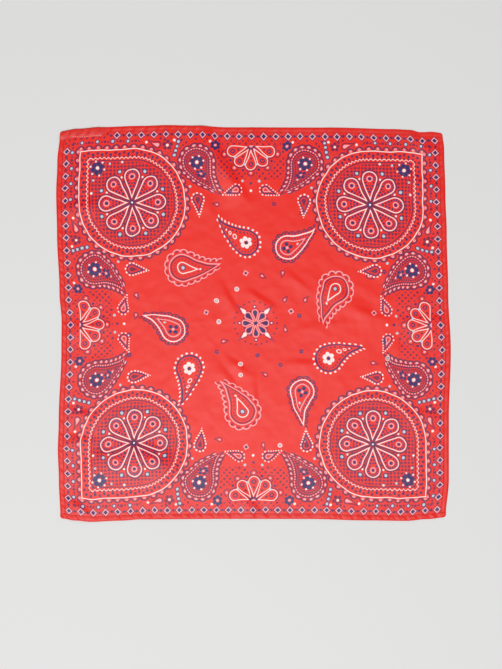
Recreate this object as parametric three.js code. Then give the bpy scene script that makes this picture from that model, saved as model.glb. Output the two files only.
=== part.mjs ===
import * as THREE from "three";

// A square bandana of thin satin, laid flat on a table with its printed face up.
// One square of cloth has its four edges turned under twice as a narrow hem, and soft folds stand in it.
// Millimetres, +Z up. The table is at Z = 0, the origin is under the middle of the cloth,
// +Y points to the far edge and +X to the right.

// The cloth and its hem.
const SIDE = 550; // finished side of the square
const HALF = SIDE / 2;
const HEM_DEPTH = 7; // how far a hem reaches in from the edge
const PANEL_WALL = 1.0; // the single layer in the middle
const HEM_WALL = 1.6; // the three layers of a turned hem
const SEAM_GAP = 0.3; // between the hem and the single layer, and between the layers at a corner
const EDGE_ROUND = 0.5; // how far the folded edge is rounded
const PANEL_HALF = HALF - HEM_DEPTH - SEAM_GAP;

// Every wall is divided at the same places along the cloth, so the seams keep their gap.
const CELLS = 40;
const CELL = (2 * PANEL_HALF) / CELLS;
const STATIONS = Array.from({ length: CELLS + 1 }, (_, k) => -PANEL_HALF + k * CELL);

// The far hem's left end is turned up onto the face.
const TURN_CELLS = 4; // how far it goes, from the corner
const TURN_REACH = 5; // how far it lies over the single layer, past the hem
const TURN_WALL = 1.0;

// How the laid edges leave the straight. "along" runs along the edge from its middle, towards +X or +Y,
// and "out" is how far the edge stands outside the square there.
const FAR_EDGE = [
  { along: -275, out: -4.6 },
  { along: -251, out: -1.0 },
  { along: -216, out: 1.6 },
  { along: -160, out: 3.3 },
  { along: -118, out: 4.4 },
  { along: -76, out: 3.4 },
  { along: -34, out: 1.3 },
  { along: 121, out: 0.9 },
  { along: 205, out: -1.2 },
  { along: 228, out: -2.2 },
  { along: 244, out: -5.6 },
  { along: 259, out: -5.0 },
  { along: 275, out: -6.6 },
];
const NEAR_EDGE = [
  { along: -275, out: -0.4 },
  { along: -251, out: 2.7 },
  { along: -232, out: 4.4 },
  { along: -188, out: 2.7 },
  { along: -160, out: 0.9 },
  { along: -34, out: 0.2 },
  { along: 79, out: 0.3 },
  { along: 163, out: 2.4 },
  { along: 219, out: 3.0 },
  { along: 248, out: 0.6 },
  { along: 275, out: -2.0 },
];
const LEFT_EDGE = [
  { along: -275, out: -3.0 },
  { along: -220, out: -0.9 },
  { along: -178, out: 0.5 },
  { along: -135, out: -0.7 },
  { along: -37, out: -4.4 },
  { along: 5, out: -4.7 },
  { along: 47, out: -1.7 },
  { along: 132, out: 1.8 },
  { along: 188, out: 2.9 },
  { along: 230, out: 1.4 },
  { along: 275, out: -2.6 },
];
const RIGHT_EDGE = [
  { along: -275, out: -4.2 },
  { along: -220, out: 0.2 },
  { along: -135, out: 0.2 },
  { along: -37, out: 2.9 },
  { along: 47, out: -0.7 },
  { along: 132, out: -2.8 },
  { along: 188, out: -4.7 },
  { along: 251, out: -6.4 },
  { along: 275, out: -9.0 },
];

// The largest folds. x and y are a fold's middle on the cloth, turn is its direction in degrees from +X,
// bow is how far its ends bend sideways, and rise is the height of its crest. A fold leans: it falls in
// STEEP of its width on the far side and in GENTLE of its width on the near side.
const STEEP = 0.35;
const GENTLE = 0.95;
const FOLDS = [
  { x: -45, y: 222, turn: -58, length: 170, width: 40, bow: 3, rise: 2.0 }, // from the far hem towards the middle
  { x: -66, y: 176, turn: -70, length: 90, width: 30, bow: 0, rise: 0.8 }, // beside it
  { x: -38, y: 34, turn: -66, length: 96, width: 22, bow: 2, rise: 0.8 }, // left of the middle
  { x: 8, y: 33, turn: -33, length: 84, width: 22, bow: 2, rise: 0.8 }, // through the middle
  { x: 59, y: 61, turn: -42, length: 64, width: 20, bow: 0, rise: 0.6 }, // right of the middle
  { x: 112, y: 44, turn: -28, length: 150, width: 40, bow: 4, rise: 0.9 }, // from there towards the right hem
  { x: 158, y: 13, turn: -21, length: 90, width: 34, bow: 2, rise: 0.9 }, // its end
  { x: 98, y: -4, turn: 8, length: 110, width: 34, bow: 3, rise: 0.6 }, // across, low
  { x: 74, y: -59, turn: -2, length: 96, width: 24, bow: -3, rise: 0.7 }, // across, below it
  { x: -26, y: -62, turn: -37, length: 72, width: 20, bow: 2, rise: 0.8 }, // lower left of the middle
  { x: -41, y: -79, turn: -52, length: 90, width: 30, bow: -2, rise: 0.9 }, // below it
  { x: -4, y: -92, turn: -80, length: 90, width: 24, bow: 2, rise: 0.6 }, // where it was once folded in half
  { x: -146, y: -196, turn: -28, length: 150, width: 50, bow: 4, rise: 1.6 }, // across the near left corner, broad
  { x: -248, y: -258, turn: -32, length: 70, width: 30, bow: 0, rise: 1.2 }, // across its tip
  { x: -240, y: 165, turn: 2, length: 96, width: 34, bow: 3, rise: 1.5 }, // in from the left hem
  { x: -236, y: -4, turn: 3, length: 100, width: 40, bow: -3, rise: 1.0 },
  { x: -240, y: -128, turn: -6, length: 84, width: 32, bow: 2, rise: 1.1 },
  { x: -246, y: -166, turn: 4, length: 80, width: 32, bow: -2, rise: 1.2 },
  { x: 246, y: 200, turn: -20, length: 84, width: 34, bow: 2, rise: 1.1 }, // in from the right hem
  { x: 238, y: 4, turn: 4, length: 96, width: 36, bow: 3, rise: 1.2 },
  { x: 240, y: -128, turn: -6, length: 90, width: 40, bow: -3, rise: 1.0 },
  { x: 246, y: 254, turn: -30, length: 80, width: 32, bow: 3, rise: 1.8 }, // across the far right corner
  { x: -126, y: 252, turn: 84, length: 70, width: 32, bow: 2, rise: 1.0 }, // in from the far hem
  { x: 2, y: 254, turn: 80, length: 60, width: 28, bow: 2, rise: 1.0 },
  { x: 112, y: 250, turn: 84, length: 80, width: 36, bow: 3, rise: 1.1 },
  { x: -136, y: -246, turn: 80, length: 84, width: 32, bow: -2, rise: 1.0 }, // in from the near hem
  { x: -8, y: -250, turn: -50, length: 70, width: 28, bow: 2, rise: 1.2 },
  { x: 96, y: -248, turn: 96, length: 80, width: 36, bow: 3, rise: 1.0 },
];

// How far an edge stands out at a place along it, eased from row to row of its table.
function outAt(edge, along) {
  const last = edge[edge.length - 1];
  if (along >= last.along) return last.out;
  const next = edge.findIndex((row) => row.along > along);
  if (next === 0) return edge[0].out;
  const a = edge[next - 1];
  const b = edge[next];
  const share = (1 - Math.cos((Math.PI * (along - a.along)) / (b.along - a.along))) / 2;
  return a.out + (b.out - a.out) * share;
}

// 1 at a crest and 0 from its foot outwards, with a level tangent at both.
function crest(t) {
  return Math.abs(t) < 1 ? (1 + Math.cos(Math.PI * t)) / 2 : 0;
}

// How far the cloth stands off the table at a place on the cloth.
function lift(u, v) {
  let total = 0;
  for (const fold of FOLDS) {
    const turn = THREE.MathUtils.degToRad(fold.turn);
    const du = u - fold.x;
    const dv = v - fold.y;
    const along = (du * Math.cos(turn) + dv * Math.sin(turn)) / (fold.length / 2);
    const across = dv * Math.cos(turn) - du * Math.sin(turn) - fold.bow * along * along;
    total += fold.rise * crest(along) * crest(across / (fold.width * (across > 0 ? STEEP : GENTLE)));
  }
  return total;
}

// The point over a place (u, v) on the flat square, at a height above the cloth's underside there.
function laid(u, v, height) {
  const share = { x: u / SIDE + 0.5, y: v / SIDE + 0.5 };
  return new THREE.Vector3(
    u + share.x * outAt(RIGHT_EDGE, v) - (1 - share.x) * outAt(LEFT_EDGE, v),
    v + share.y * outAt(FAR_EDGE, u) - (1 - share.y) * outAt(NEAR_EDGE, u),
    lift(u, v) + height,
  );
}

// A closed solid from rings that all have the same number of points, capped at both ends.
// Seen from the last ring, the points run anticlockwise.
function solidFromRings(rings) {
  const count = rings[0].length;
  const index = [];
  for (let r = 0; r + 1 < rings.length; r++) {
    for (let k = 0; k < count; k++) {
      const a = r * count + k;
      const b = r * count + ((k + 1) % count);
      index.push(a, b, b + count, a, b + count, a + count);
    }
  }
  const first = (rings.length - 1) * count;
  for (let k = 1; k + 1 < count; k++) {
    index.push(0, k + 1, k);
    index.push(first, first + k, first + k + 1);
  }
  return new THREE.BufferGeometry().setFromPoints(rings.flat()).setIndex(index);
}

// The single layer: its underside and its face, one row of points per station, joined round the rim.
function panelGeometry() {
  const points = [0, PANEL_WALL].flatMap((height) =>
    STATIONS.flatMap((v) => STATIONS.map((u) => laid(u, v, height))),
  );
  const index = [];
  const quad = (a, b, c, d) => index.push(a, b, c, a, c, d);
  const row = STATIONS.length;
  const face = row * row;
  for (let j = 0; j < CELLS; j++) {
    for (let i = 0; i < CELLS; i++) {
      const a = j * row + i;
      quad(face + a, face + a + 1, face + a + row + 1, face + a + row);
      quad(a, a + row, a + row + 1, a + 1);
    }
  }
  for (let k = 0; k < CELLS; k++) {
    const near = k;
    const far = CELLS * row + k;
    const left = k * row;
    const right = k * row + CELLS;
    quad(near, near + 1, face + near + 1, face + near);
    quad(far + 1, far, face + far, face + far + 1);
    quad(left + row, left, face + left, face + left + row);
    quad(right, right + row, face + right + row, face + right);
  }
  return new THREE.BufferGeometry().setFromPoints(points).setIndex(index);
}

// A hem's section, as depth in from the folded edge and height above the underside. "reach" is how far
// it is turned up over its neighbours, and is 0 on most of a hem.
function hemSection(reach) {
  const turned = reach > 0;
  const under = turned ? HEM_WALL + SEAM_GAP : HEM_WALL / 3;
  const top = turned ? under + TURN_WALL : HEM_WALL;
  return [
    { depth: EDGE_ROUND, height: 0 },
    { depth: HEM_DEPTH, height: 0 },
    { depth: HEM_DEPTH, height: under },
    { depth: HEM_DEPTH + reach, height: turned ? under : 2 * under },
    { depth: HEM_DEPTH + reach, height: top },
    { depth: EDGE_ROUND, height: top },
    { depth: 0, height: top / 2 },
  ];
}

// A hem along one edge. "place" turns a distance along the edge and a depth into a place on the cloth.
function hemGeometry(stations, place, reachAt = () => 0) {
  return solidFromRings(
    stations.map((along) =>
      hemSection(reachAt(along)).map(({ depth, height }) => laid(...place(along, depth), height)),
    ),
  );
}

// The turned-up end keeps its full reach until its last cell, and there it narrows into the seam's gap.
function farReach(u) {
  const past = (u - STATIONS[TURN_CELLS]) / CELL;
  if (past > 0.5) return 0;
  return past > -0.5 ? SEAM_GAP / 2 : TURN_REACH;
}

function satin(colour) {
  return new THREE.MeshStandardMaterial({ color: colour, roughness: 0.45, metalness: 0 });
}

const bandana = new THREE.Group();

function add(name, geometry, colour) {
  const mesh = new THREE.Mesh(geometry, satin(colour));
  mesh.name = name;
  bandana.add(mesh);
}

const FACE_RED = 0xe8433c;
const HEM_RED = 0xe03a34;

// The far and near hems run over the corners, and the side hems end between them.
const across = [-HALF, ...STATIONS, HALF];
const backwards = (stations) => [...stations].reverse();

add("panel", panelGeometry(), FACE_RED);
add("hem_far", hemGeometry(backwards(across), (u, depth) => [u, HALF - depth], farReach), HEM_RED);
add("hem_near", hemGeometry(across, (u, depth) => [u, depth - HALF]), HEM_RED);
add("hem_left", hemGeometry(backwards(STATIONS), (v, depth) => [depth - HALF, v]), HEM_RED);
add("hem_right", hemGeometry(STATIONS, (v, depth) => [HALF - depth, v]), HEM_RED);

const middle = new THREE.Box3().setFromObject(bandana).getCenter(new THREE.Vector3());
bandana.position.set(-middle.x, -middle.y, 0);

export default bandana;
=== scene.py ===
# %% [markdown]
# A square satin bandana, laid flat
#
# The real thing is one square of thin printed satin, 55 cm a side, with its four edges turned under
# twice and stitched. It lies on a pale table, printed face up, and is seen from straight above.
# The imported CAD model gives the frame: where the cloth lies, how wide its hems are, where its folds are.
# This lesson dresses it: a fine shell for the face, four folded hems, one hem end that has turned up
# onto the face, the stitching, and a print that is worked out by the material.

# %% Load the frame
import functools
import math
from collections import namedtuple

import bpy
import numpy as np
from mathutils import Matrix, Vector


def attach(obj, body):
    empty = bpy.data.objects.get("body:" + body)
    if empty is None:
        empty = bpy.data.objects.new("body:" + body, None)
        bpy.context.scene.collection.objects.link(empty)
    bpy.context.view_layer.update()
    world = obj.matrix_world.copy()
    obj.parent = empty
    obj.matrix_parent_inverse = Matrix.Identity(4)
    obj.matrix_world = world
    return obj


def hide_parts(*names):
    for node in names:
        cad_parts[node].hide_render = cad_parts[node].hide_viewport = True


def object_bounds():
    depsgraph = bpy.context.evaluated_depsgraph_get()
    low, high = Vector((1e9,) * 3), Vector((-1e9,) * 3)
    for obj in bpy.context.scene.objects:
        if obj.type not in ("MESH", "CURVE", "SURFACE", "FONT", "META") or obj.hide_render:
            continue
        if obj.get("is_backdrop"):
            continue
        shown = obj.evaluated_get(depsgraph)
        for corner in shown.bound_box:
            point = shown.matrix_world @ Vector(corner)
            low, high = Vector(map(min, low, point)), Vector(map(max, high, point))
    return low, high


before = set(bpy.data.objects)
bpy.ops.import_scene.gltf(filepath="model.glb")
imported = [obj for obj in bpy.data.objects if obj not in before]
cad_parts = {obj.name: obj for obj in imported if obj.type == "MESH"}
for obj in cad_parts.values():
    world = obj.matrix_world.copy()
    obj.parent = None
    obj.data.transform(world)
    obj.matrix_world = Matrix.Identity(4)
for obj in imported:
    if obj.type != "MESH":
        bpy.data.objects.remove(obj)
cad_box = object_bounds()
scene = bpy.context.scene
print("nodes:", sorted(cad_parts))

# %% [markdown]
# The camera
#
# The photograph looks straight down, so the square shows no perspective: its far and near edges are
# equally long. A long lens high above the table does the same. It points a little below the middle of
# the cloth, because the photograph leaves more table below the cloth than above it.

# %% Camera
MM = 0.001
SEEN_HEIGHT = 942 * MM  # how much of the table the picture's long side takes in
LENS, SENSOR = 85, 36
AIM_X, AIM_Y = -3.5 * MM, -15.5 * MM
CLOTH_TOP = 1 * MM

camera_data = bpy.data.cameras.new("camera")
camera_data.lens, camera_data.sensor_width = LENS, SENSOR
camera = bpy.data.objects.new("camera", camera_data)
camera.location = (AIM_X, AIM_Y, CLOTH_TOP + SEEN_HEIGHT * LENS / SENSOR)
scene.collection.objects.link(camera)
scene.camera = camera
scene.view_settings.view_transform = "Standard"
print("camera height", round(camera.location.z, 3))

# %% [markdown]
# Helpers for modelling
#
# An operator acts on all that is selected, so everything is deselected before a primitive is added.
# A finished piece keeps its object at the origin, with its place in its mesh.


# %% Add a primitive and finish a piece
def added(name, operator, **sizes):
    """Adds a primitive with nothing else selected, and names it."""
    if bpy.context.object and bpy.context.object.mode != "OBJECT":
        bpy.ops.object.mode_set(mode="OBJECT")
    bpy.ops.object.select_all(action="DESELECT")
    operator(**sizes)
    piece = bpy.context.object
    piece.name = piece.data.name = name
    return piece


def apply_modifier(piece, kind, **settings):
    """Adds a modifier with its settings and applies it at once."""
    bpy.ops.object.select_all(action="DESELECT")
    piece.select_set(True)
    bpy.context.view_layer.objects.active = piece
    modifier = piece.modifiers.new(kind.title(), kind)
    for name, value in settings.items():
        setattr(modifier, name, value)
    bpy.ops.object.modifier_apply(modifier=modifier.name)


def points_of(piece):
    """Every point of a piece's mesh, in metres, one row each."""
    flat = np.empty(len(piece.data.vertices) * 3, dtype=np.float32)
    piece.data.vertices.foreach_get("co", flat)
    return flat.reshape(-1, 3).astype(float)


def move_points(piece, points):
    """Puts the points of a piece's mesh where they are told."""
    piece.data.vertices.foreach_set("co", np.asarray(points, dtype=np.float32).ravel())
    piece.data.update()


# %% [markdown]
# The form of the laid cloth
#
# The cloth was cut square, but its laid edges wander by a few millimetres and soft folds stand in it.
# These are the same tables as in the CAD source, in millimetres on the flat square: how far each edge
# stands outside the square, and where each fold has its middle, its direction, its size and its rise.

# %% The square and its edges
SIDE = 550
HALF = SIDE / 2
HEM_DEPTH = 7
SEAM_GAP = 0.3
PANEL_HALF = HALF - HEM_DEPTH - SEAM_GAP  # of the single layer, inside the hems

# (along the edge, outwards)
FAR_EDGE = [
    (-275, -4.6), (-251, -1.0), (-216, 1.6), (-160, 3.3), (-118, 4.4), (-76, 3.4), (-34, 1.3),
    (121, 0.9), (205, -1.2), (228, -2.2), (244, -5.6), (259, -5.0), (275, -6.6),
]
NEAR_EDGE = [
    (-275, -0.4), (-251, 2.7), (-232, 4.4), (-188, 2.7), (-160, 0.9), (-34, 0.2), (79, 0.3),
    (163, 2.4), (219, 3.0), (248, 0.6), (275, -2.0),
]
LEFT_EDGE = [
    (-275, -3.0), (-220, -0.9), (-178, 0.5), (-135, -0.7), (-37, -4.4), (5, -4.7), (47, -1.7),
    (132, 1.8), (188, 2.9), (230, 1.4), (275, -2.6),
]
RIGHT_EDGE = [
    (-275, -4.2), (-220, 0.2), (-135, 0.2), (-37, 2.9), (47, -0.7), (132, -2.8), (188, -4.7),
    (251, -6.4), (275, -9.0),
]


def out_at(edge, along):
    """How far an edge stands outside the square, eased from each row of its table to the next."""
    at, out = np.array(edge).T
    row = np.clip(np.searchsorted(at, along, side="right") - 1, 0, len(at) - 2)
    share = np.clip((along - at[row]) / (at[row + 1] - at[row]), 0, 1)
    return out[row] + (out[row + 1] - out[row]) * (1 - np.cos(np.pi * share)) / 2


# %% The folds
# x and y: its middle; turn: its direction in degrees; bow: how far its crest bends sideways
Fold = namedtuple("Fold", "x y turn length width bow rise")
STEEP, GENTLE = 0.35, 0.95  # a fold leans: the shares of its width in which its far and near sides fall
FOLDS = [
    Fold(-45, 222, -58, 170, 40, 3, 2.0),  # from the far hem towards the middle
    Fold(-66, 176, -70, 90, 30, 0, 0.8),  # beside it
    Fold(-38, 34, -66, 96, 22, 2, 0.8),  # left of the middle
    Fold(8, 33, -33, 84, 22, 2, 0.8),  # through the middle
    Fold(59, 61, -42, 64, 20, 0, 0.6),  # right of the middle
    Fold(112, 44, -28, 150, 40, 4, 0.9),  # from there towards the right hem
    Fold(158, 13, -21, 90, 34, 2, 0.9),  # its end
    Fold(98, -4, 8, 110, 34, 3, 0.6),  # across, low
    Fold(74, -59, -2, 96, 24, -3, 0.7),  # across, below it
    Fold(-26, -62, -37, 72, 20, 2, 0.8),  # lower left of the middle
    Fold(-41, -79, -52, 90, 30, -2, 0.9),  # below it
    Fold(-4, -92, -80, 90, 24, 2, 0.6),  # where it was once folded in half
    Fold(-146, -196, -28, 150, 50, 4, 1.6),  # across the near left corner, broad
    Fold(-248, -258, -32, 70, 30, 0, 1.2),  # across its tip
    Fold(-240, 165, 2, 96, 34, 3, 1.5),  # in from the left hem
    Fold(-236, -4, 3, 100, 40, -3, 1.0),
    Fold(-240, -128, -6, 84, 32, 2, 1.1),
    Fold(-246, -166, 4, 80, 32, -2, 1.2),
    Fold(246, 200, -20, 84, 34, 2, 1.1),  # in from the right hem
    Fold(238, 4, 4, 96, 36, 3, 1.2),
    Fold(240, -128, -6, 90, 40, -3, 1.0),
    Fold(246, 254, -30, 80, 32, 3, 1.8),  # across the far right corner
    Fold(-126, 252, 84, 70, 32, 2, 1.0),  # in from the far hem
    Fold(2, 254, 80, 60, 28, 2, 1.0),
    Fold(112, 250, 84, 80, 36, 3, 1.1),
    Fold(-136, -246, 80, 84, 32, -2, 1.0),  # in from the near hem
    Fold(-8, -250, -50, 70, 28, 2, 1.2),
    Fold(96, -248, 96, 80, 36, 3, 1.0),
]


def crest(t):
    """A soft hump: 1 at 0, and nothing from 1 outwards."""
    return np.where(np.abs(t) < 1, (1 + np.cos(np.pi * t)) / 2, 0)


def lift(u, v, folds):
    """How high the folds raise the cloth at (u, v)."""
    total = np.zeros_like(u)
    for fold in folds:
        turn = math.radians(fold.turn)
        du, dv = u - fold.x, v - fold.y
        along = (du * math.cos(turn) + dv * math.sin(turn)) / (fold.length / 2)
        across = dv * math.cos(turn) - du * math.sin(turn) - fold.bow * along**2
        foot = fold.width * np.where(across > 0, STEEP, GENTLE)
        total += fold.rise * crest(along) * crest(across / foot)
    return total


# %% [markdown]
# Fine creases and puckers
#
# Along the broad folds and between them the satin has narrow creases, pressed in while it was stored:
# their far slopes read as short dark streaks. It was folded in half both ways, which leaves a faint
# cross. Along every hem the stitching has drawn the cloth into small slanting puckers. All of these are
# added to the form, uneven in length and depth, because a cloth simulation on a flat table
# would iron them out.

# %% Creases
CREASES = [
    Fold(-47, 235, -59, 204, 36, 2, 2.4),  # along the fold that runs in from the far hem
    Fold(-20, 194, -60, 80, 22, 1, 0.6), Fold(-58, 186, -74, 50, 14, 0, 0.4),
    Fold(-35, 35, -66, 66, 14, 1, 0.42), Fold(9, 35, -33, 56, 14, 1, 0.5),  # about the middle
    Fold(-6, 50, -42, 50, 10, -1, 0.16), Fold(61, 62, -42, 44, 12, 0, 0.34),
    Fold(72, 52, -37, 44, 10, 1, 0.12), Fold(-24, -60, -37, 52, 15, 1, 0.55),
    Fold(-38, -76, -52, 66, 18, 2, 0.36), Fold(70, -54, -2, 62, 12, -1, 0.36),
    Fold(57, -82, -88, 70, 12, 1, 0.14), Fold(158, 17, -21, 74, 18, 2, 0.34),
    Fold(118, 0, -4, 60, 13, 1, 0.16), Fold(76, -8, -3, 60, 10, 1, 0.1),
    Fold(-250, 170, 2, 56, 15, 1, 0.4), Fold(-256, -158, 6, 50, 16, 0, 0.6),  # near the hems
    Fold(-246, -122, -10, 50, 15, 0, 0.5), Fold(-247, -256, -30, 50, 18, 0, 0.8),
    Fold(-140, -191, -20, 124, 68, 2, 2.5), Fold(-6, -258, -50, 40, 16, 0, 0.6),
    Fold(-210, -190, -4, 88, 58, 0, 2.0), Fold(252, 8, 10, 44, 18, 0, 0.6),
    Fold(250, 262, -24, 50, 16, 1, 0.8), Fold(0, -88, -84, 60, 12, 1, 0.18),
    Fold(-78, 60, -58, 90, 12, 3, 0.14), Fold(-60, 8, -62, 80, 11, -2, 0.14),  # faint, over the field
    Fold(-88, -30, -48, 80, 12, 2, 0.14), Fold(20, 90, -52, 80, 12, 2, 0.13),
    Fold(30, -30, -30, 60, 11, -2, 0.12), Fold(112, 84, -35, 70, 12, 2, 0.16),
    Fold(-110, -60, -40, 70, 12, 2, 0.12), Fold(122, -86, -64, 76, 12, -2, 0.14),
    Fold(-150, 30, -66, 90, 13, 3, 0.12), Fold(64, 130, -50, 90, 13, -3, 0.13),
    Fold(188, -60, -12, 80, 13, 2, 0.14), Fold(-60, -140, -76, 80, 13, 2, 0.14),
    Fold(-20, 118, -66, 110, 18, 3, 0.2), Fold(22, 62, -60, 90, 14, 2, 0.12),
    Fold(-96, 132, -40, 80, 14, 2, 0.12), Fold(140, 60, -34, 110, 20, 4, 0.22),
    Fold(176, 40, -24, 70, 14, 2, 0.16), Fold(-104, -8, -60, 90, 14, 2, 0.14),
]


def wander(t):
    """A slow, uneven wave between about -1 and 1."""
    return (np.sin(t) + np.sin(2.3 * t + 1.1) + np.sin(0.37 * t + 2.7)) / 3


def pressed_cross(u, v):
    """The low ridges where the cloth was folded in half both ways, and once more across."""
    half_way = crest(u / 5) * (0.09 + 0.07 * wander(v / 21))
    half_way += crest(v / 5) * (0.06 + 0.06 * wander(u / 17))
    quarter = crest((np.abs(u) - HALF / 2) / 4) * (0.03 + 0.03 * wander(v / 15 + 2))
    return half_way + quarter


PUCKER_PITCH, RIPPLE_PITCH = 8.6, 16


def pucker(along, depth, side):
    """Small slanting waves that the stitching draws up, of uneven strength."""
    strength = 0.55 + 0.45 * wander(along / 19 + 5 * side)
    slant = (along + 0.6 * depth) / PUCKER_PITCH
    return strength * np.sin(2 * np.pi * slant + 2.6 * wander(along / 33 + side))


def hem_ripples(u, v):
    """The puckers with the longer waves beside them: strong at the folded edge, fading inwards."""
    total = np.zeros_like(u)
    sides = [(u, HALF - v), (u, HALF + v), (v, HALF + u), (v, HALF - u)]
    for side, (along, depth) in enumerate(sides):
        inside = np.clip(depth - HEM_DEPTH, 0, None)
        outside = np.clip(1 - depth / HEM_DEPTH, 0, 1)
        broad = np.sin(2 * np.pi * (along + depth) / RIPPLE_PITCH + 3 * wander(along / 40 + side))
        near = np.exp(-inside / 12) * (0.65 + 0.35 * wander(along / 50 + 3 * side))
        total += near * (0.24 * broad + (0.1 + 0.5 * outside) * pucker(along, depth, side))
    return total


def uneven(u, v):
    """What the satin's surface adds to the smooth form, the same for every layer that lies there."""
    return pressed_cross(u, v) + hem_ripples(u, v)


def laid(u, v, height):
    """The place over (u, v) of the flat square, at a height over the table where no fold lifts it."""
    right, far = u / SIDE + 0.5, v / SIDE + 0.5
    x = u + right * out_at(RIGHT_EDGE, v) - (1 - right) * out_at(LEFT_EDGE, v)
    y = v + far * out_at(FAR_EDGE, u) - (1 - far) * out_at(NEAR_EDGE, u)
    return np.stack([x, y, lift(u, v, FOLDS) + lift(u, v, CREASES) + height], axis=-1) * MM


# %% [markdown]
# The face
#
# The face is one layer of satin. It starts as a flat grid that is fine enough for the creases, its
# points are laid on the form above, and Solidify gives it a thickness. The print has to follow the
# cloth, not the table, so each point keeps its place on the flat square in an attribute before it moves.

# %% Lay the face
FACE_CELLS = 212  # along a side: cells of 2.5 mm, fine enough for the creases
FACE_HALF = HALF - 5.9  # its rim lies under the lips of the hems
FACE_TOP = 0.95  # over the table, where nothing lifts it
FACE_THICK = 0.5


def keep_flat_place(piece, u, v):
    """Keeps each point's place on the flat square, which the materials read."""
    places = piece.data.attributes.new("flat_place", "FLOAT_VECTOR", "POINT")
    places.data.foreach_set("vector", np.stack([u, v, 0 * u], axis=-1).astype(np.float32).ravel())


face = added(
    "satin_face", bpy.ops.mesh.primitive_grid_add,
    x_subdivisions=FACE_CELLS, y_subdivisions=FACE_CELLS, size=2 * FACE_HALF * MM,
)
u, v, _ = points_of(face).T / MM
keep_flat_place(face, u, v)
move_points(face, laid(u, v, FACE_TOP + uneven(u, v)))
apply_modifier(face, "SOLIDIFY", thickness=FACE_THICK * MM, offset=-1)
bpy.ops.object.shade_smooth()
lowest = points_of(face)[:, 2].min() / MM
print("face:", len(face.data.polygons), "faces, lowest point", round(lowest, 2), "mm")

# %% [markdown]
# The hems
#
# A bandana's edge is turned under twice, so a hem is three layers pressed together: a low band with a
# soft folded edge outside and a stitched step inside. Each hem starts as a cylinder with one side per
# point of the band's section. Its long edges are cut into short ones, and every ring is then laid along
# the edge of the cloth, with the small puckers that the stitching draws up. Edit mode is told first to
# select by edges: by vertices, it would cut the edges between the chosen ones' ends as well.

# %% A band from its section
STITCH_DEPTH = 6.1  # of the seam, in from the folded edge
# (depth in from the folded edge, height, how far it follows the puckers)
HEM_SECTION = [
    (0.8, 0.0, 0), (2.4, 0.0, 0), (4.0, 0.0, 0), (5.5, 0.0, 0), (5.6, 1.0, 1), (7.2, 0.99, 1),
    (7.3, 1.01, 1), (6.9, 1.04, 1), (STITCH_DEPTH, 1.06, 1), (5.2, 1.15, 1), (4.0, 1.27, 1),
    (2.7, 1.32, 1), (1.4, 1.22, 1), (0.5, 0.95, 0.8), (0.05, 0.6, 0.4), (0.25, 0.15, 0),
]
RING_STEP = 1.3  # between the rings of a band, fine enough for its puckers
MOST_CUTS = 99  # one call of subdivide makes no more


def select_lengthwise(piece, shortest):
    """Selects only the edges that run along Z and are longer than asked."""
    ends = points_of(piece)[:, 2] / MM
    for part in [*piece.data.polygons, *piece.data.vertices]:
        part.select = False
    for edge in piece.data.edges:
        a, b = edge.vertices
        edge.select = bool(abs(ends[a] - ends[b]) > shortest)


def band(name, section, start, end):
    """A closed band along X from start to end. Returns it with each point's way along it and its row."""
    rows, step = len(section), end - start
    made = added(
        name, bpy.ops.mesh.primitive_cylinder_add,
        vertices=rows, radius=MM, depth=step * MM, location=(0, 0, (start + end) / 2 * MM),
    )
    bpy.ops.object.transform_apply(location=True)
    bpy.context.tool_settings.mesh_select_mode = (False, True, False)  # edges, not vertices or faces
    while step > RING_STEP:
        cuts = min(MOST_CUTS, math.ceil(step / RING_STEP) - 1)
        select_lengthwise(made, step / 2)
        bpy.ops.object.mode_set(mode="EDIT")
        bpy.ops.mesh.subdivide(number_cuts=cuts)
        bpy.ops.object.mode_set(mode="OBJECT")
        step /= cuts + 1
    x, y, z = points_of(made).T
    row = np.round(np.arctan2(x, y) / (2 * np.pi / rows)).astype(int) % rows
    return made, z / MM, row


def outwards(piece):
    """Turns every face of a closed piece outwards and shades it smooth."""
    bpy.ops.object.mode_set(mode="EDIT")
    bpy.ops.mesh.select_all(action="SELECT")
    bpy.ops.mesh.normals_make_consistent(inside=False)
    bpy.ops.object.mode_set(mode="OBJECT")
    bpy.ops.object.shade_smooth()


# %% Lay the four hems
TURNED_END = -203  # the far hem is turned up onto the face from the left corner to here
HEM_ENDS = {"far": HALF, "near": HALF, "left": PANEL_HALF, "right": PANEL_HALF}
CORNER_ROUND = 4
# the place on the flat square for a way along a side and a depth in from its folded edge
PLACE_ON = {
    "far": lambda along, depth: (along, HALF - depth),
    "near": lambda along, depth: (along, depth - HALF),
    "left": lambda along, depth: (depth - HALF, along),
    "right": lambda along, depth: (HALF - depth, along),
}


def eased(t):
    """Rises softly from 0 to 1 as t does, and stays there."""
    t = np.clip(t, 0, 1)
    return t * t * (3 - 2 * t)


def rounded_corner(along, depth):
    """How far the folded edge draws in as it comes round a corner of the cloth."""
    past = np.clip(np.abs(along) - (HALF - CORNER_ROUND), 0, CORNER_ROUND)
    drawn_in = CORNER_ROUND - np.sqrt(CORNER_ROUND**2 - 0.9 * past**2)
    return drawn_in * np.clip(1 - depth / HEM_DEPTH, 0, 1)


TUCKED_TOP = 1.2  # a hem is no higher where the turned-up end lies over it

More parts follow.
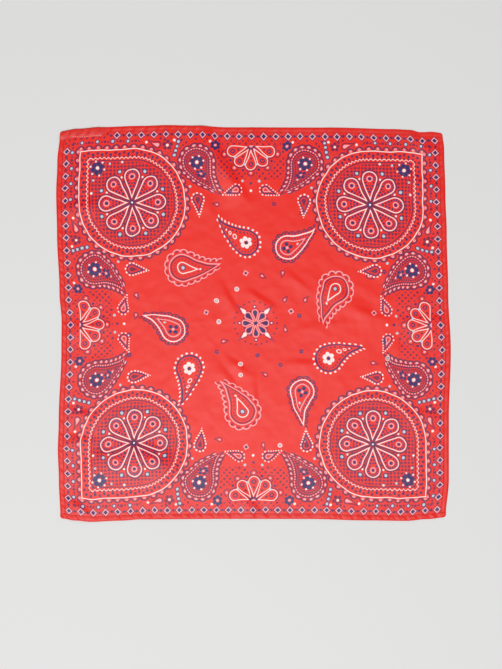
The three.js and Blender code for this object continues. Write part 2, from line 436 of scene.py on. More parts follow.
hems = {}
for side, (edge, end) in enumerate(HEM_ENDS.items()):
    hem, along, row = band(f"folded_hem_{edge}", HEM_SECTION, -end, end)
    depth, height, follows = np.array(HEM_SECTION)[row].T
    outer, under = depth < 1.5, 0
    if edge == "far":
        under = eased((TURNED_END - 12 - along) / 14)
        depth = depth + 0.8 * under * outer
    if edge == "left":
        under = eased((along - PANEL_HALF + 14) / 8)
    height = height - under * np.clip(height - TUCKED_TOP, 0, None)
    rounding = rounded_corner(along, depth) if end == HALF else 0
    depth = depth + 0.05 * outer * pucker(along, depth, side) + rounding
    u, v = PLACE_ON[edge](along, depth)
    keep_flat_place(hem, u, v)
    move_points(hem, laid(u, v, height + follows * uneven(u, v)))
    outwards(hem)
    hems[edge] = hem
    print(hem.name, len(hem.data.polygons), "faces")

# %% [markdown]
# The turned-up end
#
# At the far left corner the hem has flipped over: it lies on the face instead of under it, and shows
# the unprinted back of the satin with a pale line of stitches. It is a band of its own, wider than the
# hem below it, that narrows and sinks back into the hem at its right end.

# %% Lay the turned-up end
TURN_STITCH = 10.5
CLOSING = 14  # the length over which its right end closes
# (depth, height)
TURN_SECTION = [
    (0.7, 1.5), (4.5, 1.5), (8.0, 1.35), (11.7, 1.15), (12.0, 1.35), (11.8, 1.6), (11.2, 1.66),
    (TURN_STITCH, 1.58), (9.6, 1.82), (7.6, 2.05), (5.2, 2.2), (2.8, 2.18), (1.0, 2.0), (0.1, 1.75),
]


def turned_shape(along):
    """What it gains in height over the side hem, how it widens, and how far its right end has closed."""
    gain = 0.45 * eased((-HALF + 13 - along) / 8)
    wider = 1 + 0.14 * eased((along + HALF) / 55)
    return gain, wider, eased((along - TURNED_END + CLOSING) / CLOSING)


turned_end, along, row = band("turned_up_end", TURN_SECTION, -HALF, TURNED_END)
depth, height = np.array(TURN_SECTION)[row].T
upper = (row > 4) & (row < 13)
gain, wider, closed = turned_shape(along)
height = height + gain + 0.2 * wander(along / 6) * upper * (1 - closed)
height = height * (1 - closed) + closed * (0.5 + 0.6 * (height - 1.5))
depth = depth * wider * (1 - 0.6 * closed) + 0.9 * closed + rounded_corner(along, depth)
u, v = PLACE_ON["far"](along, depth)
keep_flat_place(turned_end, u, v)
move_points(turned_end, laid(u, v, height + uneven(u, v)))
outwards(turned_end)
print(turned_end.name, len(turned_end.data.polygons), "faces")

# %% [markdown]
# The stitching
#
# One machine stitch is a short raised piece of thread that dips into the cloth at both ends. It is
# modelled once as a small drawn-out ball, repeated by an Array modifier, and the row is then laid along
# its hem. The thread matches the satin, and shows pale only where the hem has turned up.

# %% Sew the rows
STITCH_LENGTH, STITCH_WIDTH, STITCH_PITCH = 2.5, 0.5, 3.3
STITCH_SEGMENTS, STITCH_RINGS = 8, 6  # few, as there are hundreds of stitches
SEAM_HEIGHT, TURN_SEAM_HEIGHT = 1.08, 1.76


def stitch_row(name, start, end, place, depth_at, height_at):
    """A row of single stitches along a side, at a depth and a height that may change on the way."""
    count = int((end - start) / STITCH_PITCH)
    row = added(
        name, bpy.ops.mesh.primitive_uv_sphere_add,
        segments=STITCH_SEGMENTS, ring_count=STITCH_RINGS, radius=MM / 2,
    )
    bpy.ops.transform.resize(value=(STITCH_LENGTH, STITCH_WIDTH, STITCH_WIDTH))
    bpy.ops.object.transform_apply(scale=True)
    apply_modifier(
        row, "ARRAY", count=count, use_relative_offset=False,
        use_constant_offset=True, constant_offset_displace=(STITCH_PITCH * MM, 0, 0),
    )
    x, y, z = points_of(row).T / MM
    along = start + STITCH_PITCH / 2 + x
    u, v = PLACE_ON[place](along, depth_at(along) + y)
    keep_flat_place(row, u, v)
    move_points(row, laid(u, v, height_at(along) + z + uneven(u, v)))
    outwards(row)
    return row


seams = {}
for edge, end in HEM_ENDS.items():
    start = TURNED_END - 8 if edge == "far" else -end + 3
    seams[edge] = stitch_row(
        f"stitching_{edge}", start, end - 3, edge,
        lambda along: STITCH_DEPTH, lambda along: SEAM_HEIGHT,
    )
seams["turned_end"] = stitch_row(
    "stitching_turned_end", -HALF + 18, TURNED_END - CLOSING + 4, "far",
    lambda along: TURN_STITCH * turned_shape(along)[1] + 0.3 * wander(along / 5),
    lambda along: TURN_SEAM_HEIGHT + 0.2 * wander(along / 6) + turned_shape(along)[0],
)
per_stitch = STITCH_SEGMENTS * STITCH_RINGS
print("stitches:", {name: len(row.data.polygons) // per_stitch for name, row in seams.items()})

# %% [markdown]
# Table and light
#
# The picture has a plain pale table and soft daylight from high on the near side: slopes that face away
# from it are a deeper red, and the satin grows paler towards it. One wide area light does that, placed
# so that its reflection only just misses the cloth. A low light from the far wall fills the shade of
# the slopes without paling the satin, and a weak pale world does the rest.

# %% Table
table = added("table", bpy.ops.mesh.primitive_plane_add, size=40)
table_paint = bpy.data.materials.new("pale_table")
table_paint.use_nodes = True
shader = table_paint.node_tree.nodes["Principled BSDF"]
shader.inputs["Base Color"].default_value = (0.735, 0.738, 0.738, 1)
shader.inputs["Roughness"].default_value = 0.9
table.data.materials.append(table_paint)
table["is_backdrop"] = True

# %% Light
world = bpy.data.worlds.new("daylight")
world.use_nodes = True
world.node_tree.nodes["Background"].inputs["Color"].default_value = (1, 0.985, 0.965, 1)
world.node_tree.nodes["Background"].inputs["Strength"].default_value = 0.3
scene.world = world


def area_light(name, place, aim, size, power):
    """A square light of a size in metres, turned towards its aim."""
    lamp = bpy.data.lights.new(name, "AREA")
    lamp.shape, lamp.size, lamp.energy = "SQUARE", size, power
    holder = bpy.data.objects.new(name, lamp)
    holder.location = place
    holder.rotation_euler = (Vector(aim) - Vector(place)).to_track_quat("-Z", "Y").to_euler()
    scene.collection.objects.link(holder)


area_light("window", place=(-0.6, -1.45, 4.0), aim=(0, 0, 0), size=1.4, power=131)
area_light("far_wall", place=(1.4, 3.8, 1.7), aim=(0, 0, 0), size=2.0, power=36)

# %% [markdown]
# Material maths
#
# The print is worked out by the material, so it stays sharp at any distance. Each line of it is a sum
# on the place on the cloth, and sums are easier to read as sums than as nodes. This small class wraps
# one output of a node: adding or multiplying values adds the Math node that does it.


# %% A value that the material works out
class Value:
    """One output of a node in a material's tree."""

    def __init__(self, tree, socket):
        self.tree, self.socket = tree, socket

    def node(self, kind, sockets=(), output=0, **settings):
        """Adds a node: its settings first, then the values or links of its sockets, by place or name."""
        made = self.tree.nodes.new(kind)
        for name, setting in settings.items():
            setattr(made, name, setting)
        for name, value in sockets.items() if isinstance(sockets, dict) else enumerate(sockets):
            if isinstance(value, Value):
                self.tree.links.new(value.socket, made.inputs[name])
            else:
                made.inputs[name].default_value = value
        return Value(self.tree, made.outputs[output])

    def maths(self, operation, *others):
        return self.node("ShaderNodeMath", [self, *others], operation=operation)

    def vector(self, operation, *others, output=0):
        return self.node("ShaderNodeVectorMath", [self, *others], output, operation=operation)

    def __add__(self, other):
        return self.maths("ADD", other)

    def __mul__(self, other):
        return self.maths("MULTIPLY", other)

    def __sub__(self, other):
        return self.maths("SUBTRACT", other)

    def __rsub__(self, other):
        return self.node("ShaderNodeMath", [other, self], operation="SUBTRACT")

    def __truediv__(self, other):
        return self.maths("DIVIDE", other)

    def __abs__(self):
        return self.maths("ABSOLUTE")

    __radd__, __rmul__ = __add__, __mul__


def least(*values):
    return functools.reduce(lambda a, b: a.maths("MINIMUM", b), values)


def most(*values):
    return functools.reduce(lambda a, b: a.maths("MAXIMUM", b), values)


def parts(place):
    """A place's way across and way up."""
    return [place.node("ShaderNodeSeparateXYZ", [place], axis) for axis in ("X", "Y")]


def place_at(x, y):
    """The place with this way across and this way up."""
    return x.node("ShaderNodeCombineXYZ", [x, y])


def reach_of(place):
    """How far a place is from the middle that it is measured from."""
    return place.vector("LENGTH", output="Value")


def far_from(place, x, y):
    """How far a place is from the point (x, y)."""
    return place.vector("DISTANCE", (x, y, 0), output="Value")


def placed(place, x, y, turn=0):
    """The same place, seen from a motif that sits at (x, y) and is turned by so many degrees."""
    spot = {"Vector": place, "Location": (x, y, 0), "Rotation": (0, 0, math.radians(turn))}
    return place.node("ShaderNodeMapping", spot, vector_type="TEXTURE")


def srgb(code):
    """A screen colour such as #E8433C as the material's linear colour."""
    shares = [int(code[i : i + 2], 16) / 255 for i in (1, 3, 5)]
    return (*[s / 12.92 if s < 0.04 else ((s + 0.055) / 1.055) ** 2.4 for s in shares], 1)


# %% [markdown]
# Drawing with distances
#
# A printed shape is a distance: how far a place lies outside the shape's outline, in millimetres, and
# less than 0 inside it. A line is a narrow band of that distance, beads and scallops repeat along the
# outline, and one ink takes the least of all its shapes' distances, so it needs a single soft edge.
# Where a shape has to stop short, the most of it and a limit is drawn. A limit is a distance too, times
# a number that makes it steep, so that it cuts sharply.


# %% Lines, beads, scallops and waves
def line(d, at=0.0, width=1.3):
    """A line of a width that follows an outline, so far outside it."""
    return abs(d - at if at else d) - width / 2


def pace(s, pitch):
    """The way to the nearest of the stations that stand every pitch along an outline."""
    return s.maths("PINGPONG", pitch / 2)


def beads(step, d, at, radius, shift=0.0):
    """A dot at every station, or so far on towards the next."""
    return far_from(place_at(step, d), shift, at) - radius


def scallops(step, d, at, radius, width=1.2):
    """An arch over every station, which stands on the outline."""
    return most(line(beads(step, d, at, 0), radius, width), at - d)


def frill(s, d, at, pitch, swing, width=1.2):
    """A line of small shallow loops along an outline."""
    loops = abs((s * (math.pi / pitch)).maths("SINE"))
    return line(d - swing * loops, at, width)


def drop(place, round_, tip, bend=0.0):
    """A drop with its round end about the middle and its tip above, bent sideways if asked.
    Gives the distance outside it, the way along its outline from the bottom, and the unbent place."""
    x, y = parts(place)
    if bend:
        x = x - bend / tip**2 * most(y, 0).maths("POWER", 2)
    lean = math.asin(round_ / tip)
    side = abs(x)
    out = side * math.cos(lean) + y * math.sin(lean)
    past = y * math.cos(lean) - side * math.sin(lean)
    d = reach_of(place_at(out, least(past, 0))) - round_
    turned = least(side.maths("ARCTAN2", 0 - y), math.pi / 2 + lean)
    return d, turned * round_ + most(past, 0), place_at(x, y)


def way_round(round_, tip):
    """How long one side of a drop's outline is, from the bottom to the tip."""
    return round_ * (math.pi / 2 + math.asin(round_ / tip)) + math.sqrt(tip**2 - round_**2)


def mirrored_round(place, count):
    """Folds the cloth about a middle, so what is drawn above it appears count times, each mirrored."""
    x, y = parts(place)
    angle = x.maths("ARCTAN2", y).maths("PINGPONG", math.pi / count)
    reach = reach_of(place)
    return place_at(reach * angle.maths("SINE"), reach * angle.maths("COSINE"))


def spaced_round(place, count, first):
    """Turns the cloth about a middle, so what is drawn above it appears count times, all the same way."""
    x, y = parts(placed(place, 0, 0, first))
    angle = x.maths("ARCTAN2", y).maths("WRAP", -math.pi / count, math.pi / count)
    reach = reach_of(place)
    return place_at(reach * angle.maths("SINE"), reach * angle.maths("COSINE"))


def between_petals(folded, count, reach):
    """How far a mirrored place is from the gap between two of count petals, at a reach from the middle."""
    half_turn = math.pi / count
    return far_from(folded, reach * math.sin(half_turn), reach * math.cos(half_turn))


class Inks(dict):
    """How far each ink's nearest shape is."""

    def draw(self, ink, distance):
        """Adds a shape to an ink."""
        self[ink] = least(self[ink], distance) if ink in self else distance

    def blossom(self, place, count, radius, petal, heart):
        """A small flower: round petals in one ink and a heart in another."""
        folded = mirrored_round(place, count)
        self.draw(petal, far_from(folded, 0, radius * 0.64) - radius * 0.34)
        self.draw(heart, reach_of(place) - radius * 0.24)


# %% [markdown]
# The print
#
# This print is a traditional bandana layout in five inks over the red: a row of small diamonds along the
# hems, a large drop with a rosette in each corner, bent drops and a fan along each side, a wreath of
# bent drops round a middle flower, and a scatter of tiny motifs. Folding the cloth about its middle and
# its diagonals means that a corner and half a side are drawn only once.


# %% The border row
BORDER_PITCH = 17.5  # from one diamond to the next
BORDER_ROW = HALF - 12.7  # from the middle of the cloth


def border_row(inks, along, out, hidden):
    """Outlined diamonds in a row near the hem, with a dot between each two."""
    step, off = pace(along, BORDER_PITCH), out - BORDER_ROW
    off = most(abs(off), hidden)
    diamond = (step + abs(off)) * math.sqrt(0.5)
    inks.draw("pink", line(diamond, 3.0, 1.3))
    inks.draw("navy", diamond - 2.3)
    inks.draw("maroon", line(diamond, 4.4, 1.1))
    specks = place_at(BORDER_PITCH / 2 - step, off)
    inks.draw("maroon", far_from(specks, 0, 0) - 1.9)
    inks.draw("navy", far_from(specks, 0, 0) - 1.0)


# %% The corners
CORNER_ROUND_END = 75
CORNER_TIP = CORNER_ROUND_END * math.sqrt(2)  # its sides then run along the hems
CORNER_AT = 168  # the middle of its round end, across and up from the middle of the cloth


def corner_drop(inks, corner):
    """The large drop: a scalloped edge, a pale outline, and rows of dots and loops inside it."""
    d, s, _ = drop(corner, CORNER_ROUND_END, CORNER_TIP)
    pitch = way_round(CORNER_ROUND_END, CORNER_TIP) / 20
    step = pace(s, pitch)
    inks.draw("maroon", scallops(step, d, 0.9, 5.4, 2.3))
    inks.draw("pink", line(beads(step, d, 3.4, 0), 1.3, 1.1))
    inks.draw("white", line(d, 0, 1.25))
    inks.draw("maroon", beads(step, d, -4.2, 2.1))
    inks.draw("navy", beads(step, d, -6.4, 1.9, pitch / 2))
    inks.draw("maroon", beads(pace(s, pitch / 2), d, -9.6, 1.4))
    inks.draw("white", frill(s, d, -13.2, pitch / 2, 2.4, 1.0))
    inks.draw("maroon", line(d, -15.4, 1.7))
    x, y = parts(corner)
    x, y = x + y, x - y
    dots = far_from(place_at(pace(x, 7.2), pace(y, 7.2)), 0, 0) - 2.6
    inks.draw("maroon", most(dots / math.sqrt(2), d + 18, 45 - reach_of(corner)))


def corner_rosette(inks, corner):
    """Eight looped petals about the middle of the corner's drop, and a flower towards its tip."""
    folded = mirrored_round(corner, 8)
    x, y = parts(folded)
    d, s, petal = drop(place_at(x, 36.5 - y), 10.2, 29)
    reach = reach_of(corner)
    inks.draw("white", line(d, 0, 1.25))
    inks.draw("maroon", line(d, 2.1, 1.8))
    inks.draw("navy", beads(pace(s, 4.6), d, -3.2, 1.5))
    heart = far_from(petal, 0, 0)
    inks.draw("pink", line(heart, 3.5, 1.3))
    inks.draw("navy", heart - 2.1)
    inks.draw("maroon", far_from(petal, 0, 9.6) - 1.3)
    gem = between_petals(folded, 8, 47)
    inks.draw("blue", gem - 2.2)
    inks.draw("navy", line(gem, 3.1, 1.2))
    inks.draw("white", between_petals(folded, 8, 38.5) - 1.4)
    inks.draw("maroon", between_petals(folded, 8, 31.5) - 1.5)
    inks.draw("navy", reach - 3.4)
    inks.draw("white", reach - 1.4)
    near_tip = placed(corner, 0, 70)
    inks.blossom(near_tip, 6, 9.5, "navy", "white")
    inks.draw("white", between_petals(mirrored_round(near_tip, 6), 6, 10) - 1.3)
    x, y = parts(corner)
    halved = place_at(abs(x), y)
    for x, y, ink in [(16, 62, "blue"), (0, 83, "maroon"), (30, 51, "white")]:
        inks.draw(ink, far_from(halved, x, y) - 1.7)


# %% The sides
def side_drops(inks, side):
    """A bent drop on either side of a side's middle, scalloped outside and beaded inside."""
    round_, tip = 17.5, 41
    d, s, bent = drop(placed(side, 77, 224, 168), round_, tip, bend=17)
    whole = way_round(round_, tip)
    pitch = whole / 10
    step, past = pace(s, pitch), (s - whole - 2) * 5
    inks.draw("maroon", most(scallops(step, d, 4.8, 4.3, 2.3), past))
    inks.draw("pink", most(beads(step, d, 6.3, 1.6), past))
    inks.draw("maroon", line(d, 3.8, 1.9))
    inks.draw("pink", most(beads(pace(s, pitch / 2), d, 1.9, 0.9), past))
    inks.draw("maroon", line(d, 0, 2.1))
    inks.draw("maroon", beads(pace(s, pitch / 2), d, -3.4, 1.5))
    inks.draw("maroon", beads(pace(s, pitch / 2), d, -6.6, 1.3, pitch / 4))
    inks.blossom(bent, 6, 10, "navy", "white")
    inks.draw("white", between_petals(mirrored_round(bent, 6), 6, 9.6) - 1.3)
    inks.blossom(placed(bent, 0, 16.5), 5, 6.5, "navy", "pink")
    inks.draw("pink", far_from(bent, 0, 24) - 1.5)
    inks.draw("maroon", far_from(bent, 0, 28.5) - 1.3)


def side_fan(inks, side):
    """Half a rosette that opens from the border towards the middle."""
    fan = placed(side, 0, 250, 180)
    _, up = parts(fan)
    folded = mirrored_round(fan, 10)
    x, y = parts(folded)
    d, _, petal = drop(place_at(x, 27.5 - y), 7.2, 20)
    shut = (0.8 - up) * 4  # the limit of the half
    inks.draw("white", most(line(d, 0, 1.0), shut))
    inks.draw("navy", most(line(far_from(petal, 0, 0.2), 2.5, 1.5), shut))
    inks.draw("maroon", most(far_from(petal, 0, 8.4) - 1.6, shut))
    inks.draw("maroon", most(line(d, 2.3, 1.3), shut))
    inks.draw("maroon", most(line(far_from(folded, 0, 39), 4.9, 1.4), 37.5 - y, shut))
    inks.draw("pink", most(far_from(folded, 0, 39.6) - 1.7, shut))
    inks.draw("navy", most(between_petals(folded, 10, 36.5) - 1.8, shut))
    inks.draw("blue", most(between_petals(folded, 10, 28.5) - 1.6, shut))
    reach = reach_of(fan)
    inks.draw("navy", most(line(reach, 5.4, 1.3), shut))
    inks.draw("pink", most(reach - 3.2, shut))


def side_sprigs(inks, side):
    """Small leaves, flowers and dots that fill the gaps between the large motifs."""
    d, _, _ = drop(placed(side, 133, 248, -80), 4.2, 15, bend=-4)
    inks.draw("maroon", line(d, 0, 1.4))
    inks.draw("pink", d + 1.9)
    d, s, _ = drop(placed(side, 20, 187, -110), 5.2, 15)
    inks.draw("navy", line(d, 0, 1.5))
    inks.draw("pink", line(d, -2.5, 1.1))
    inks.draw("white", beads(pace(s, 3.7), d, 2.4, 0.9))
    d, s, _ = drop(placed(side, 75, 172, 176), 6, 16)
    inks.draw("navy", line(d, 0, 1.6))
    inks.draw("maroon", d + 3)
    inks.draw("white", beads(pace(s, 3.8), d, 2.6, 1.1))
    inks.blossom(placed(side, 119, 247.5), 5, 7.5, "maroon", "white")
    inks.blossom(placed(side, 51, 249), 6, 7.5, "navy", "pink")
    for x, y in [(104.5, 253), (106, 246.4), (107.5, 239.8), (108.6, 233.2)]:
        inks.draw("blue", far_from(side, x, y) - 2)
        inks.draw("navy", line(far_from(side, x, y), 2.8, 1.2))
    dots = [
        (100, 255, "maroon"), (150, 252, "white"), (59, 254, "white"), (20, 203, "maroon"),
        (12, 199.5, "blue"), (0, 196, "navy"), (46, 241, "maroon"), (86, 190, "blue"),
        (81, 196, "maroon"), (110, 254.5, "white"), (124, 254.5, "maroon"), (0, 186, "white"),
    ]
    for x, y, ink in dots:
        inks.draw(ink, far_from(side, x, y) - 1.8)


def corner_dots(inks, side):
    """A row of dots between the corner's drop and the border."""
    x, y = parts(side)
    row = place_at(pace(x, 22), y - (HALF - 20.6))
    shut = (160 - x) * 5
    inks.draw("blue", most(far_from(row, 0, 0) - 1.9, shut))
    inks.draw("navy", most(line(far_from(row, 0, 0), 2.7, 1.2), shut))
    inks.draw("maroon", most(far_from(row, 11, 0) - 2.0, shut))
    inks.draw("maroon", most(far_from(row, 6.5, -0.6) - 1.4, shut))


def fill_gaps(inks, side):
    """Tiny dots in slanting rows wherever the border has room for them between its motifs."""
    x, y = parts(side)
    nearest = least(*inks.values())
    dot = far_from(place_at(pace(x + y, 8.4), pace(x - y, 8.4)), 0, 0) * math.sqrt(0.5) - 1.6
    inks.draw("maroon", most(dot, 2.4 - nearest, 202 - y, y - HALF + 6))


# %% The wreath
def wreath(inks, cloth):
    """Nine bent drops in a ring about the middle: three kinds, each three times."""
    ring, round_, tip = 119, 17.5, 46
    whole = way_round(round_, tip)
    pitch = whole / 13

    spot = spaced_round(cloth, 3, 10)
    d, s, bent = drop(placed(spot, 11, ring - 6, 62), round_, tip, bend=19)
    step, past = pace(s, pitch), (s - whole - 1) * 5
    inks.draw("navy", line(d, 0, 2.0))
    inks.draw("white", most(beads(step, d, 3.3, 1.4), past))
    inks.draw("maroon", beads(step, d, -4.0, 1.3))
    inks.blossom(bent, 6, 9, "white", "navy")
    inks.draw("white", line(far_from(bent, 0, 17), 2.6, 1.2))
    inks.draw("white", line(far_from(bent, 0, 25), 1.8, 1.1))
    inks.draw("white", far_from(bent, 0, 31.5) - 1.2)

    spot = spaced_round(cloth, 3, 50)
    d, s, bent = drop(placed(spot, -6, ring + 6, 206), round_, tip, bend=-17)
    step, past = pace(s, pitch * 13 / 9), (s - whole - 2) * 5
    inks.draw("pink", most(scallops(step, d, 4.2, 4.2, 1.3), past))
    inks.draw("maroon", most(beads(step, d, 5.4, 1.2), past))
    inks.draw("pink", line(d, 1.2, 1.3))
    inks.draw("maroon", line(d, -1.3, 1.6))
    inks.draw("white", line(d, -9.8, 1.4))
    inks.draw("maroon", beads(pace(s, pitch), d, -5.4, 1.0))
    inks.draw("blue", far_from(bent, 0, 0) - 2.4)
    inks.draw("navy", line(far_from(bent, 0, 0), 3.2, 1.1))
    inks.draw("white", far_from(bent, 0, 24) - 1.4)

    spot = spaced_round(cloth, 3, 90)
    d, s, bent = drop(placed(spot, -10, ring - 2, -48), round_ - 1, tip - 3, bend=-17)
    whole = way_round(round_ - 1, tip - 3)
    pitch = whole / 8
    step, past = pace(s, pitch), (s - whole - 1) * 5
    inks.draw("maroon", most(scallops(step, d, 1.2, 4.3, 1.8), past))
    inks.draw("navy", most(beads(step, d, 2.9, 1.3), past))
    inks.draw("white", line(d, 0, 1.5))
    inks.draw("navy", beads(pace(s, pitch / 2), d, -3.1, 1.1))
    inks.draw("pink", line(d, -6.4, 1.2))
    inks.blossom(bent, 4, 8, "navy", "pink")
    inks.draw("blue", far_from(bent, 0, 15) - 1.6)
    inks.draw("maroon", far_from(bent, 0, 21) - 1.3)


# %% The middle
def middle_flower(inks, cloth):
    """A dark flower in eight looped petals, inside a ring of dots."""
    folded = mirrored_round(cloth, 8)
    x, y = parts(folded)
    d, _, _ = drop(place_at(x, 14.6 - y), 4.4, 11.5)
    inks.draw("pink", line(d, 0, 1.1))
    inks.draw("navy", d + 1.4)
    inks.draw("navy", reach_of(cloth) - 2.6)
    inks.draw("maroon", between_petals(folded, 8, 17.5) - 1.5)
    inks.draw("maroon", far_from(mirrored_round(cloth, 24), 0, 30) - 1.4)
    folded = mirrored_round(placed(cloth, 0, 0, 45), 4)
    x, y = parts(folded)
    d, s, _ = drop(place_at(x, y - 22), 2.7, 8)
    inks.draw("white", d)
    inks.draw("navy", beads(pace(s, 2.6), d, 1.9, 0.7))
    eye = far_from(mirrored_round(cloth, 4), 0, 23)
    inks.draw("white", eye - 1.1)
    inks.draw("navy", line(eye, 2.2, 1))


# %% The scatter
def scatter(inks, cloth):
    """Tiny motifs strewn over the open field, of four kinds. Each cell of a Voronoi pattern has one."""
    cells = {"Vector": cloth, "Scale": 1 / 30, "Randomness": 0.7}  # a motif about every 30 mm
    settings = {"voronoi_dimensions": "2D", "feature": "F1"}
    home = cloth.node("ShaderNodeTexVoronoi", cells, "Position", **settings)
    chance, turn = parts(cloth.node("ShaderNodeTexVoronoi", cells, "Color", **settings))
    reach = reach_of(home)
    x, y = parts(home.vector("ABSOLUTE"))
    corner = far_from(place_at(x, y), CORNER_AT, CORNER_AT)
    inside_wreath = most(reach - 84, 41 - reach)
    outside_wreath = most(162 - reach, most(x, y) - 186, 95 - corner)
    shut = least(inside_wreath, outside_wreath) * 100
    local = cloth.node(
        "ShaderNodeVectorRotate",
        {"Vector": cloth.vector("SUBTRACT", home), "Angle": turn * (2 * math.pi)},
        rotation_type="Z_AXIS",
    )
    spot = most(reach_of(local), shut)
    kinds = [(0, 0.27), (0.27, 0.5), (0.5, 0.78), (0.78, 1.01)]
    of_kind = [most(low - chance, chance - high) * 100 for low, high in kinds]
    leaves = far_from(mirrored_round(local, 5), 0, 2.1)
    inks.draw("navy", most(leaves - 1.2, shut, of_kind[0]))
    inks.draw("white", most(line(spot, 2.7, 1.2), of_kind[1]))
    inks.draw("blue", most(spot - 1.4, of_kind[1]))
    d, _, _ = drop(local, 2.9, 7.2)
    d = most(d, shut)
    inks.draw("maroon", most(line(d, 0, 1.2), of_kind[2]))
    inks.draw("pink", most(d + 1.7, of_kind[2]))
    x, y = parts(local.vector("ABSOLUTE"))
    diamond = most((x + y) * math.sqrt(0.5), shut)
    inks.draw("pink", most(line(diamond, 2.5, 1.2), of_kind[3]))
    inks.draw("navy", most(diamond - 1.4, of_kind[3]))


# %% [markdown]
# The printed satin
#
# Under the inks the satin is one red, a little uneven. Its sheen is soft: satin floats its threads, so
# light spreads into a broad gloss. The back of the cloth is paler, and the print shows through it
# faintly. A fine rib of threads goes into the bump only, since it is too small for real form.

# %% Inks
INK_COLOURS = {
    "maroon": srgb("#7A1446"),
    "pink": srgb("#F6AEB4"),
    "navy": srgb("#2A2263"),
    "white": srgb("#FCE9E6"),
    "blue": srgb("#B9CCD6"),
}
INK_SOFT = 0.3  # how far an ink's edge bleeds, in millimetres


def inked(ground, inks):
    """The ground's colour with every ink laid over it."""
    for ink, colour in INK_COLOURS.items():
        if ink in inks:
            edge = [inks[ink], -INK_SOFT, INK_SOFT, 1.0, 0.0]
            mask = ground.node("ShaderNodeMapRange", edge, interpolation_type="SMOOTHSTEP")
            ground = mixed(mask, ground, colour)
    return ground


def mixed(share, first, second):
    """A share of the second colour over the first. One of the three is a value of the material."""
    value = next(one for one in (share, first, second) if isinstance(one, Value))
    return value.node("ShaderNodeMix", {0: share, 6: first, 7: second}, 2, data_type="RGBA")


def whole_print(ground, cloth):
    """Every motif of the face, drawn on the cloth folded about its middle and its diagonals."""
    x, y = parts(cloth)
    hidden = least(y - (HALF - 24), TURNED_END - x) * 5  # the row stops where the hem has turned up
    x, y = abs(x), abs(y)
    along, out = least(x, y), most(x, y)
    side = place_at(along, out)
    corner = placed(side, 0, 0, -45).vector("SUBTRACT", (0, CORNER_AT * math.sqrt(2), 0))
    inks = Inks()
    border_row(inks, along, out, hidden)
    corner_drop(inks, corner)
    corner_rosette(inks, corner)
    side_drops(inks, side)
    side_fan(inks, side)
    side_sprigs(inks, side)
    corner_dots(inks, side)
    fill_gaps(inks, side)
    wreath(inks, cloth)
    middle_flower(inks, cloth)
    scatter(inks, cloth)
    return inked(ground, inks)


def show_through(ground, cloth):
    """The back of the border row, which the turned-up end shows as faint spots."""
    x, y = parts(cloth)
    step = pace(x + 6, BORDER_PITCH)
    inks = Inks()
    inks.draw("maroon", far_from(place_at(step, y), 0, HALF - 7.8) - 2.2)
    inks.draw("maroon", far_from(place_at(BORDER_PITCH / 2 - step, y), 0, HALF - 7.4) - 1.1)
    return mixed(0.26, ground, inked(ground, inks))


# %% A cloth material
def started(name):
    """A new material, its shader, and the place on the flat square that it reads."""
    material = bpy.data.materials.new(name)
    material.use_nodes = True
    tree = material.node_tree
    cloth = Value(tree, None).node("ShaderNodeAttribute", output="Vector", attribute_name="flat_place")
    return material, tree.nodes["Principled BSDF"], cloth


def noise(cloth, size, detail, output="Fac"):
    """Soft spots about so many millimetres across."""
    sockets = {"Vector": cloth, "Scale": 1 / size, "Detail": detail}
    return cloth.node("ShaderNodeTexNoise", sockets, output)


def finish_shader(shader, colour, bump, roughness):
    """Gives the shader what the material has worked out."""
    colour.tree.links.new(colour.socket, shader.inputs["Base Color"])
    bump.tree.links.new(bump.socket, shader.inputs["Normal"])
    shader.inputs["Roughness"].default_value = roughness


# %% The satin
FRONT, FRONT_DEEP = srgb("#F11E0B"), srgb("#E91B08")
HEM_DEEP = srgb("#DC1A10")
BACK, BACK_DEEP = srgb("#E22820"), srgb("#DA221B")
STRAY = 2.2  # how far the hand that drew the print strayed, from one side to the other
RIB_PITCH, RIB_HEIGHT, RUMPLE_HEIGHT = 0.9, 0.012, 0.9


def satin(name, light, deep, drawing=None):
    """Satin that drifts between two shades, with a drawing laid over it if one is given."""
    material, shader, cloth = started(name)
    colour = mixed(noise(cloth, 60, 2.0), light, deep)
    if drawing:
        hand = noise(cloth, 14, 0.0, "Color").vector("MULTIPLY_ADD", (STRAY, STRAY, 0), cloth)
        colour = drawing(colour, hand.vector("SUBTRACT", (STRAY / 2, STRAY / 2, 0)))
    x, y = parts(cloth)
    rib = ((x + y) * (2 * math.pi / RIB_PITCH)).maths("SINE")
    height = rib * RIB_HEIGHT + noise(cloth, 22, 1.0) * RUMPLE_HEIGHT
    bump = cloth.node("ShaderNodeBump", {"Strength": 1.0, "Distance": MM, "Height": height})
    finish_shader(shader, colour, bump, roughness=0.44)
    shader.inputs["Specular IOR Level"].default_value = 0.38
    print(name, len(material.node_tree.nodes), "nodes")
    return material


printed_satin = satin("printed_satin", FRONT, FRONT_DEEP, whole_print)
hem_satin = satin("hem_satin", FRONT_DEEP, HEM_DEEP)
reverse_satin = satin("reverse_satin", BACK, BACK_DEEP, show_through)


# %% [markdown]
# The thread
#
# Machine thread is two plies twisted together, so it has fine slanting ridges. At this size they only
# show close up, and a wave along the row in the bump is enough.

# %% Thread
PLY_PITCH = 0.45


def thread(name, dye):
    """Thread of an uneven dye, with the ridges of its plies."""
    material, shader, cloth = started(name)
    x, y = parts(cloth)
    ply = ((x + y) * (2 * math.pi / PLY_PITCH)).maths("SINE")
    colour = mixed(noise(cloth, 6, 1.0), dye, (*[0.85 * share for share in dye[:3]], 1))
    bump = cloth.node("ShaderNodeBump", {"Strength": 0.8, "Distance": 0.05 * MM, "Height": ply})
    finish_shader(shader, colour, bump, roughness=0.55)
    return material


red_thread = thread("red_thread", srgb("#DC1E18"))
pale_thread = thread("pale_thread", srgb("#FFD9D3"))
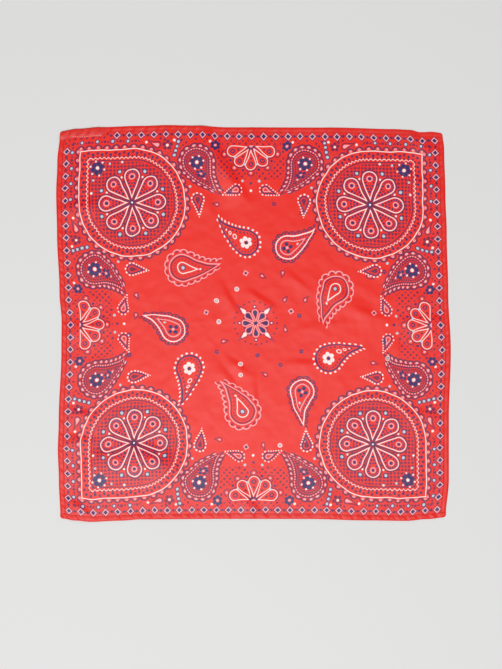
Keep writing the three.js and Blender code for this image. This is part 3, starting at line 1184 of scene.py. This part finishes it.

# %% [markdown]
# Dress the pieces
#
# Every piece takes its material and rides on the object's one body, and the CAD nodes whose places the
# pieces fill are hidden. On the face, 55 by 55 cm is the cut of what shows. The real square is cut
# 1.6 cm larger on each side, for the hem that is turned under twice.

# %% A UV map for the face
def lay_out_map(piece):
    """A UV map that gives the printed top most of its room, and strips to the underside and the rim."""
    # up the map: the top from 0.01 to 0.80, the rim at 0.81 to 0.825, the underside from 0.84 to 0.99
    mesh = piece.data
    corners = np.empty(len(mesh.loops), dtype=np.int32)
    mesh.loops.foreach_get("vertex_index", corners)
    normals = np.empty(len(mesh.polygons) * 3, dtype=np.float32)
    mesh.polygons.foreach_get("normal", normals)
    facing = np.repeat(normals.reshape(-1, 3)[:, 2], 4)
    flat = np.empty(len(mesh.vertices) * 3, dtype=np.float32)
    mesh.attributes["flat_place"].data.foreach_get("vector", flat)
    u, v = flat.reshape(-1, 3)[corners, :2].T / (2 * FACE_HALF) + 0.5
    low = points_of(piece)[corners, 2] / MM
    up = np.where(facing > 0.5, 0.01 + 0.79 * v, 0.84 + 0.15 * v)
    rim = np.abs(facing) <= 0.5
    along_side = np.abs(v - 0.5) > np.abs(u - 0.5)
    top = np.repeat(low.reshape(-1, 4).mean(axis=1), 4) < low
    up[rim] = 0.81 + 0.005 * top[rim] + 0.01 * along_side[rim]
    across = np.where(rim & ~along_side, v, u)
    places = mesh.uv_layers.new(name="OFBake")
    places.data.foreach_set("uv", np.stack([0.01 + 0.98 * across, up], axis=-1).astype(np.float32).ravel())


lay_out_map(face)
print("maps of the face:", [layer.name for layer in face.data.uv_layers])

# %% Materials, bodies and nodes
finishes = [(face, printed_satin, "printed_satin"), (turned_end, reverse_satin, "hem_satin")]
finishes += [(hem, hem_satin, "hem_satin") for hem in hems.values()]
for edge, seam in seams.items():
    finishes.append((seam, pale_thread if edge == "turned_end" else red_thread, "hem_satin"))

for piece, material, slot in finishes:
    piece.data.materials.clear()
    piece.data.materials.append(material)
    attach(piece, "root")

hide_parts("panel")
for edge, hem in hems.items():
    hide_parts(f"hem_{edge}")
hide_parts("hem_far")

# %% Sizes
sizes = {"cad_box": cad_box, "visual_box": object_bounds()}
sizes = {name: [[float(x) for x in corner] for corner in box] for name, box in sizes.items()}
print(sizes)
